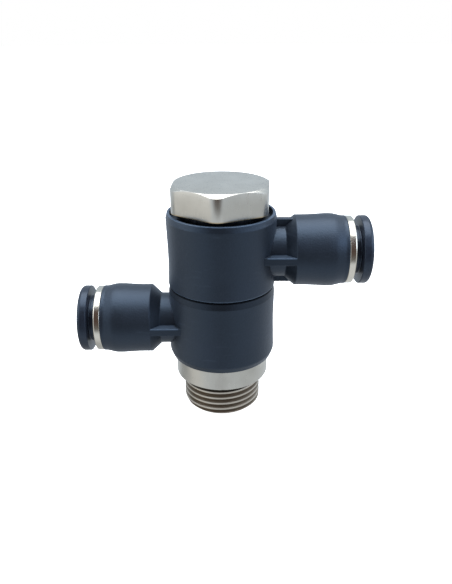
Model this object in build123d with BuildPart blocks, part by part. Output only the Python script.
from build123d import *
from math import cos, pi, radians, tan
import os

# Double banjo push-in fitting: two plastic bodies that swivel on one hollow hexagon-head bolt.
# The bolt stands along Z with its threaded end at the origin. The upper body's tube port points
# along +X and the lower body's along -X. Every piece that comes apart on a bench is its own solid.

# ---- Levels along the bolt, in millimetres above the thread's lower end ----
collar_bottom_z = 7.5
lower_body_bottom_z = 12.25
lower_port_z = 19.75
seam_z = 28.1
upper_port_z = 35.15
upper_body_top_z = 43.5
head_bottom_z = 44.15
head_top_z = 49.35
swivel_gap = 0.05  # axial play between the faces that turn on each other

# ---- Hollow bolt ----
head_across_flats = 19.0
head_corner_radius = 2.75
head_turn = -95.0  # direction in which one corner points, in degrees
head_top_radius = 9.45
head_chamfer_angle = 30.0
washer_face_radius = 8.9
stem_radius = 8.5
waist_radius = 6.9
waist_height = 6.2
flow_bore_radius = 4.6
flow_bore_roof_z = 40.0
cross_hole_radius = 2.2
cross_hole_count = 4

# ---- Pipe thread G 3/8 ----
thread_radius = 16.662 / 2
thread_pitch = 25.4 / 19
thread_depth = 0.856
thread_crest_width = 0.34
thread_relief_radius = 7.35
thread_relief_height = 1.2
thread_end_chamfer = 0.75

# ---- Stem seals ----
stem_ring_height = 1.6
stem_ring_clearance = 0.03
stem_groove_radius = 7.05
stem_groove_width = 1.9
stem_ring_offset = 4.75  # from a port's level to the ring above it and the ring below it

# ---- Collar ----
collar_radius = 9.97
collar_groove_radius = 9.35
collar_groove_depth = 1.35
face_ring_width = 1.7
face_ring_height = 1.25

# ---- Swivelling bodies, whose barrels are listed as (radius, level) from the bottom up ----
body_bore_radius = stem_radius + 0.06
rim_inner_radius = 10.4
head_recess_depth = 1.3
upper_barrel = [
    (11.1, seam_z),
    (10.92, seam_z + 4.3),
    (10.98, seam_z + 8.0),
    (11.2, upper_body_top_z - 1.15),
    (10.92, upper_body_top_z),
]
upper_barrel_radii = [0.45, 30, 60, 0.2, 0.12]
lower_barrel = [
    (10.8, lower_body_bottom_z),
    (11.28, lower_body_bottom_z + 1.2),
    (11.03, lower_body_bottom_z + 8.5),
    (11.12, seam_z - swivel_gap - 1.45),
    (10.87, seam_z - swivel_gap),
]
lower_barrel_radii = [0.1, 1.0, 60, 0.2, 0.12]
rib_thickness = 1.6
rib_edge_radius = 0.15
side_rib_reach = 7.2
upright_rib_reach = 6.8
rib_end = 15.2

# ---- Tube ports, as distances from the bolt's axis and from the port's own axis ----
neck_start = 7.5
neck_radius = 5.4
neck_end = 12.85
shoulder_end = 14.85
shoulder_radius = 7.24
swell_start = 17.4
swell_end = 21.3
swell_radius = 7.47
taper_start = 22.6
taper_start_radius = 7.43
band_start = 24.4
band_radius = 7.0
port_end = 25.1
port_radii = [0, 0, 0.3, 0.35, 30, 10, 4, 1.5, 0.15, 0]
passage_radius = 3.0
tube_stop = 13.4
socket_radius = 4.07
chamber_start = 16.4
chamber_radius = 5.75

# ---- Pieces in a port ----
insert_radius = chamber_radius - 0.01
seal_start, seal_end = 16.45, 18.85
seal_lip_radius = 3.96  # the two lips squeeze the tube a little
seal_lip_offset = 0.45
seal_mouth_radius = 4.35
seal_waist_radius = 4.4
seal_waist_offset = 0.9
spacer_start, spacer_end = 18.9, 20.0
spacer_bore_radius = 4.15
spacer_land = 0.3
claw_start, claw_thickness = 20.05, 0.25
claw_root_radius = 4.95
claw_tip_radius = 3.94
claw_lean = 0.6  # how far the tooth tips lean towards the tube stop
claw_teeth = 10
claw_slot_width = 0.5
claw_slot_length = 1.6
claw_slot_centre_radius = 4.15
guide_start, guide_end = 20.4, 26.5
guide_bore_radius = 4.95
guide_counterbore_radius = 5.3
guide_shoulder = 22.2
guide_flange_radius = 6.95
sleeve_bore_radius = 4.1
sleeve_outer_radius = 4.87
sleeve_start = 20.85
sleeve_barb_radius = 5.2
sleeve_nose_radius = 4.57
sleeve_nose_length = 0.5
sleeve_barb_end = guide_shoulder - 0.05
flange_start, flange_end = 27.9, 29.9
flange_radius = 7.0

os.makedirs("parts", exist_ok=True)


def save(part, label):
    """Label a finished piece and write it as its own STEP file."""
    part.label = label
    export_step(part, f"parts/{label}.step")


def port_plane(side, port_z):
    """The plane of a port's half section: x runs out along the port, y up from its axis."""
    return Plane(origin=(0, 0, port_z), x_dir=(side, 0, 0), z_dir=(0, -side, 0))


def port_axis(side, port_z):
    """The centre line of a port, pointing out of its mouth."""
    return Axis((0, 0, port_z), (side, 0, 0))


def turned(plane, axis, outline, radii):
    """A piece turned about an axis from a closed outline whose corners have the given radii."""
    with BuildPart() as piece:
        with BuildSketch(plane):
            with BuildLine():
                FilletPolyline(*outline, radius=radii, close=True)
            make_face()
        revolve(axis=axis)
    return piece.part


# ---- Hollow bolt: hexagon head, waisted stem with seal grooves, threaded end, blind flow bore ----
seal_levels = [
    port_z + way * stem_ring_offset
    for port_z in (lower_port_z, upper_port_z)
    for way in (-1, 1)
]
recess_floor_z = upper_body_top_z - head_recess_depth
washer_face_z = recess_floor_z + swivel_gap
corner_circle_radius = head_across_flats / 2 / cos(pi / 6)
chamfer_drop = (corner_circle_radius - head_top_radius) * tan(radians(head_chamfer_angle))
thread_top_z = collar_bottom_z - thread_relief_height
collar_groove_top_z = collar_bottom_z + collar_groove_depth
thread_flank = (thread_pitch - thread_crest_width) / 2
thread_count = int((thread_top_z - thread_end_chamfer) / thread_pitch)

with BuildPart() as hollow_bolt:
    # hexagon head with rounded corners, cut to a cone on top
    with BuildSketch(Plane.XY.offset(head_bottom_z)) as hexagon:
        RegularPolygon(head_across_flats / 2, 6, major_radius=False, rotation=head_turn)
        fillet(hexagon.vertices(), head_corner_radius)
    extrude(amount=head_top_z - head_bottom_z)
    with BuildSketch(Plane.XZ):
        with BuildLine():
            Polyline(
                (0, head_bottom_z),
                (corner_circle_radius, head_bottom_z),
                (corner_circle_radius, head_top_z - chamfer_drop),
                (head_top_radius, head_top_z),
                (0, head_top_z),
                close=True,
            )
        make_face()
    revolve(axis=Axis.Z, mode=Mode.INTERSECT)
    # washer face, stem and the plain blank of the thread
    with BuildSketch(Plane.XZ):
        with BuildLine():
            Polyline(
                (0, 0),
                (thread_radius - thread_end_chamfer, 0),
                (thread_radius, thread_end_chamfer),
                (thread_radius, thread_top_z),
                (thread_relief_radius, thread_top_z),
                (thread_relief_radius, collar_groove_top_z),
                (stem_radius, collar_groove_top_z),
                (stem_radius, washer_face_z),
                (washer_face_radius, washer_face_z),
                (washer_face_radius, head_bottom_z),
                (0, head_bottom_z),
                close=True,
            )
        make_face()
    revolve(axis=Axis.Z)
    # thread grooves, one for each pitch
    with BuildSketch(Plane.XZ):
        for turn in range(thread_count + 1):
            groove_z = thread_top_z - thread_crest_width - thread_flank - turn * thread_pitch
            with BuildLine():
                Polyline(
                    (thread_radius + 0.01, groove_z - thread_flank),
                    (thread_radius - thread_depth, groove_z),
                    (thread_radius + 0.01, groove_z + thread_flank),
                    close=True,
                )
            make_face()
    revolve(axis=Axis.Z, mode=Mode.SUBTRACT)
    # annular channels at the ports and grooves for the four stem seals
    with BuildSketch(Plane.XZ):
        for port_z in (lower_port_z, upper_port_z):
            with Locations((stem_radius, port_z)):
                Rectangle(2 * (stem_radius - waist_radius), waist_height)
        for level in seal_levels:
            with Locations((stem_radius, level)):
                Rectangle(2 * (stem_radius - stem_groove_radius), stem_groove_width)
    revolve(axis=Axis.Z, mode=Mode.SUBTRACT)
    # blind flow bore from the threaded end, joined to each channel by cross holes
    with BuildSketch(Plane.XY):
        Circle(flow_bore_radius)
    extrude(amount=flow_bore_roof_z, mode=Mode.SUBTRACT)
    for port_z in (lower_port_z, upper_port_z):
        with Locations(Plane.XY.offset(port_z)):
            with PolarLocations(0, cross_hole_count // 2, angular_range=180):
                Cylinder(cross_hole_radius, 2 * stem_radius, rotation=(0, 90, 0), mode=Mode.SUBTRACT)
save(hollow_bolt.part, "hollow_bolt")

# ---- Collar pressed on the stem, with the face seal in its underside ----
with BuildPart() as collar:
    with BuildSketch(Plane.XZ):
        with BuildLine():
            FilletPolyline(
                (stem_radius, collar_groove_top_z),
                (collar_groove_radius, collar_groove_top_z),
                (collar_groove_radius, collar_bottom_z),
                (collar_radius, collar_bottom_z),
                (collar_radius, lower_body_bottom_z - swivel_gap),
                (stem_radius, lower_body_bottom_z - swivel_gap),
                radius=[0, 0, 0, 0.2, 0.15, 0],
                close=True,
            )
        make_face()
    revolve(axis=Axis.Z)
save(collar.part, "collar")

face_ring_radius = (collar_groove_radius + thread_relief_radius) / 2
with BuildPart() as face_o_ring:
    with BuildSketch(Plane.XZ):
        with Locations((face_ring_radius, (collar_bottom_z + collar_groove_top_z) / 2)):
            Ellipse(face_ring_width / 2, face_ring_height / 2)
    revolve(axis=Axis.Z)
save(face_o_ring.part, "face_o_ring")

# ---- Four stem O-rings, squeezed a little between groove and bore ----
stem_ring_radius = (stem_groove_radius + body_bore_radius) / 2
stem_ring_width = body_bore_radius - stem_groove_radius - 2 * stem_ring_clearance
seal_names = ["lower_body_bottom", "lower_body_top", "upper_body_bottom", "upper_body_top"]
for seal_name, level in zip(seal_names, seal_levels):
    with BuildPart() as stem_o_ring:
        with BuildSketch(Plane.XZ):
            with Locations((stem_ring_radius, level)):
                Ellipse(stem_ring_width / 2, stem_ring_height / 2)
        revolve(axis=Axis.Z)
    save(stem_o_ring.part, f"{seal_name}_o_ring")


# ---- Bodies ----
def make_body(side, port_z, barrel, barrel_radii, recess_depth, upright_ribs):
    """A banjo body: a round barrel with a tube port on one side, bored for the stem."""
    bottom_z, top_z = barrel[0][1], barrel[-1][1]
    with BuildPart() as body:
        with BuildSketch(Plane.XZ):
            with BuildLine():
                outline = [(0, bottom_z), *barrel, (0, top_z)]
                FilletPolyline(*outline, radius=[0, *barrel_radii, 0], close=True)
            make_face()
        revolve(axis=Axis.Z)
        # port: neck, shoulder, swelling and the plain band that carries the guide ring
        with BuildSketch(port_plane(side, port_z)):
            with BuildLine():
                FilletPolyline(
                    (neck_start, 0),
                    (neck_start, neck_radius),
                    (neck_end, neck_radius),
                    (shoulder_end, shoulder_radius),
                    (swell_start, shoulder_radius),
                    (swell_end, swell_radius),
                    (taper_start, taper_start_radius),
                    (band_start, band_radius),
                    (port_end, band_radius),
                    (port_end, 0),
                    radius=port_radii,
                    close=True,
                )
            make_face()
        revolve(axis=port_axis(side, port_z))
        # ribs that stiffen the neck, with their long edges eased
        rib_length = rib_end - neck_start
        rib_place = Location((side * (neck_start + rib_length / 2), 0, port_z))
        reaches = [(side_rib_reach, rib_thickness / 2)]
        if upright_ribs:
            reaches.append((rib_thickness / 2, upright_rib_reach))
        for half_width, half_height in reaches:
            with BuildPart(rib_place, mode=Mode.PRIVATE) as rib:
                Box(rib_length, 2 * half_width, 2 * half_height)
                fillet(rib.edges().filter_by(Axis.X), rib_edge_radius)
            add(rib.part)
        # bore for the stem and the recess that the bolt's head sits in
        with BuildSketch(Plane.XY.offset(bottom_z)):
            Circle(body_bore_radius)
        extrude(amount=top_z - bottom_z, mode=Mode.SUBTRACT)
        if recess_depth:
            with BuildSketch(Plane.XY.offset(top_z - recess_depth)):
                Circle(rim_inner_radius)
            extrude(amount=recess_depth, mode=Mode.SUBTRACT)
        # stepped hole of the port: air passage, tube socket and seal chamber
        with BuildSketch(port_plane(side, port_z)):
            with BuildLine():
                Polyline(
                    (0, 0),
                    (0, passage_radius),
                    (tube_stop, passage_radius),
                    (tube_stop, socket_radius),
                    (chamber_start, socket_radius),
                    (chamber_start, chamber_radius),
                    (port_end, chamber_radius),
                    (port_end, 0),
                    close=True,
                )
            make_face()
        revolve(axis=port_axis(side, port_z), mode=Mode.SUBTRACT)
    return body.part


upper_body = make_body(1, upper_port_z, upper_barrel, upper_barrel_radii, head_recess_depth, True)
lower_body = make_body(-1, lower_port_z, lower_barrel, lower_barrel_radii, 0, False)
save(upper_body, "upper_body")
save(lower_body, "lower_body")


# ---- Pieces held in each port ----
def make_lock_claw(side, port_z):
    """The spring-steel ring whose inward teeth grip the tube."""
    plane, axis = port_plane(side, port_z), port_axis(side, port_z)
    claw_back = claw_start + claw_thickness
    with BuildPart() as lock_claw:
        with BuildSketch(plane):
            with BuildLine():
                Polyline(
                    (claw_start, insert_radius),
                    (claw_start, claw_root_radius),
                    (claw_start - claw_lean, claw_tip_radius),
                    (claw_start - claw_lean + claw_thickness, claw_tip_radius),
                    (claw_back, claw_root_radius),
                    (claw_back, insert_radius),
                    close=True,
                )
            make_face()
        revolve(axis=axis)
        # slots between the teeth
        with BuildSketch(Plane(origin=axis.position, x_dir=(0, 1, 0), z_dir=axis.direction)):
            with PolarLocations(claw_slot_centre_radius, claw_teeth):
                Rectangle(claw_slot_length, claw_slot_width)
        extrude(amount=port_end, mode=Mode.SUBTRACT)
    return lock_claw.part


def make_release_sleeve(side, port_z):
    """The push sleeve: a tube with a retaining barb inside and a round flange outside."""
    plane, axis = port_plane(side, port_z), port_axis(side, port_z)
    with BuildPart() as sleeve:
        with BuildSketch(plane):
            with BuildLine():
                FilletPolyline(
                    (sleeve_start, sleeve_bore_radius),
                    (sleeve_start, sleeve_nose_radius),
                    (sleeve_start + sleeve_nose_length, sleeve_barb_radius),
                    (sleeve_barb_end, sleeve_barb_radius),
                    (sleeve_barb_end, sleeve_outer_radius),
                    (flange_start, sleeve_outer_radius),
                    (flange_start, flange_radius),
                    (flange_end, flange_radius),
                    (flange_end, sleeve_bore_radius),
                    radius=[0, 0, 0, 0, 0, 0.2, 0.2, 0.75, 0.5],
                    close=True,
                )
            make_face()
        revolve(axis=axis)
    return sleeve.part


for port_name, side, port_z in (("upper", 1, upper_port_z), ("lower", -1, lower_port_z)):
    plane, axis = port_plane(side, port_z), port_axis(side, port_z)
    tube_seal = turned(
        plane,
        axis,
        [
            (seal_start, insert_radius),
            (seal_start, seal_mouth_radius),
            (seal_start + seal_lip_offset, seal_lip_radius),
            (seal_start + seal_waist_offset, seal_waist_radius),
            (seal_end - seal_waist_offset, seal_waist_radius),
            (seal_end - seal_lip_offset, seal_lip_radius),
            (seal_end, seal_mouth_radius),
            (seal_end, insert_radius),
        ],
        [0.15, 0.05, 0.15, 0.2, 0.2, 0.15, 0.05, 0.15],
    )
    claw_spacer = turned(
        plane,
        axis,
        [
            (spacer_start, insert_radius),
            (spacer_start, spacer_bore_radius),
            (spacer_start + spacer_land, spacer_bore_radius),
            (spacer_end, claw_root_radius),
            (spacer_end, insert_radius),
        ],
        [0.05, 0.05, 0, 0, 0.05],
    )
    guide_ring = turned(
        plane,
        axis,
        [
            (guide_start, guide_counterbore_radius),
            (guide_start, insert_radius),
            (port_end, insert_radius),
            (port_end, guide_flange_radius),
            (guide_end, guide_flange_radius),
            (guide_end, guide_bore_radius),
            (guide_shoulder, guide_bore_radius),
            (guide_shoulder, guide_counterbore_radius),
        ],
        [0, 0.1, 0, 0.15, 0.3, 0.1, 0, 0],
    )
    save(tube_seal, f"{port_name}_tube_seal")
    save(claw_spacer, f"{port_name}_claw_spacer")
    save(make_lock_claw(side, port_z), f"{port_name}_lock_claw")
    save(guide_ring, f"{port_name}_guide_ring")
    save(make_release_sleeve(side, port_z), f"{port_name}_release_sleeve")
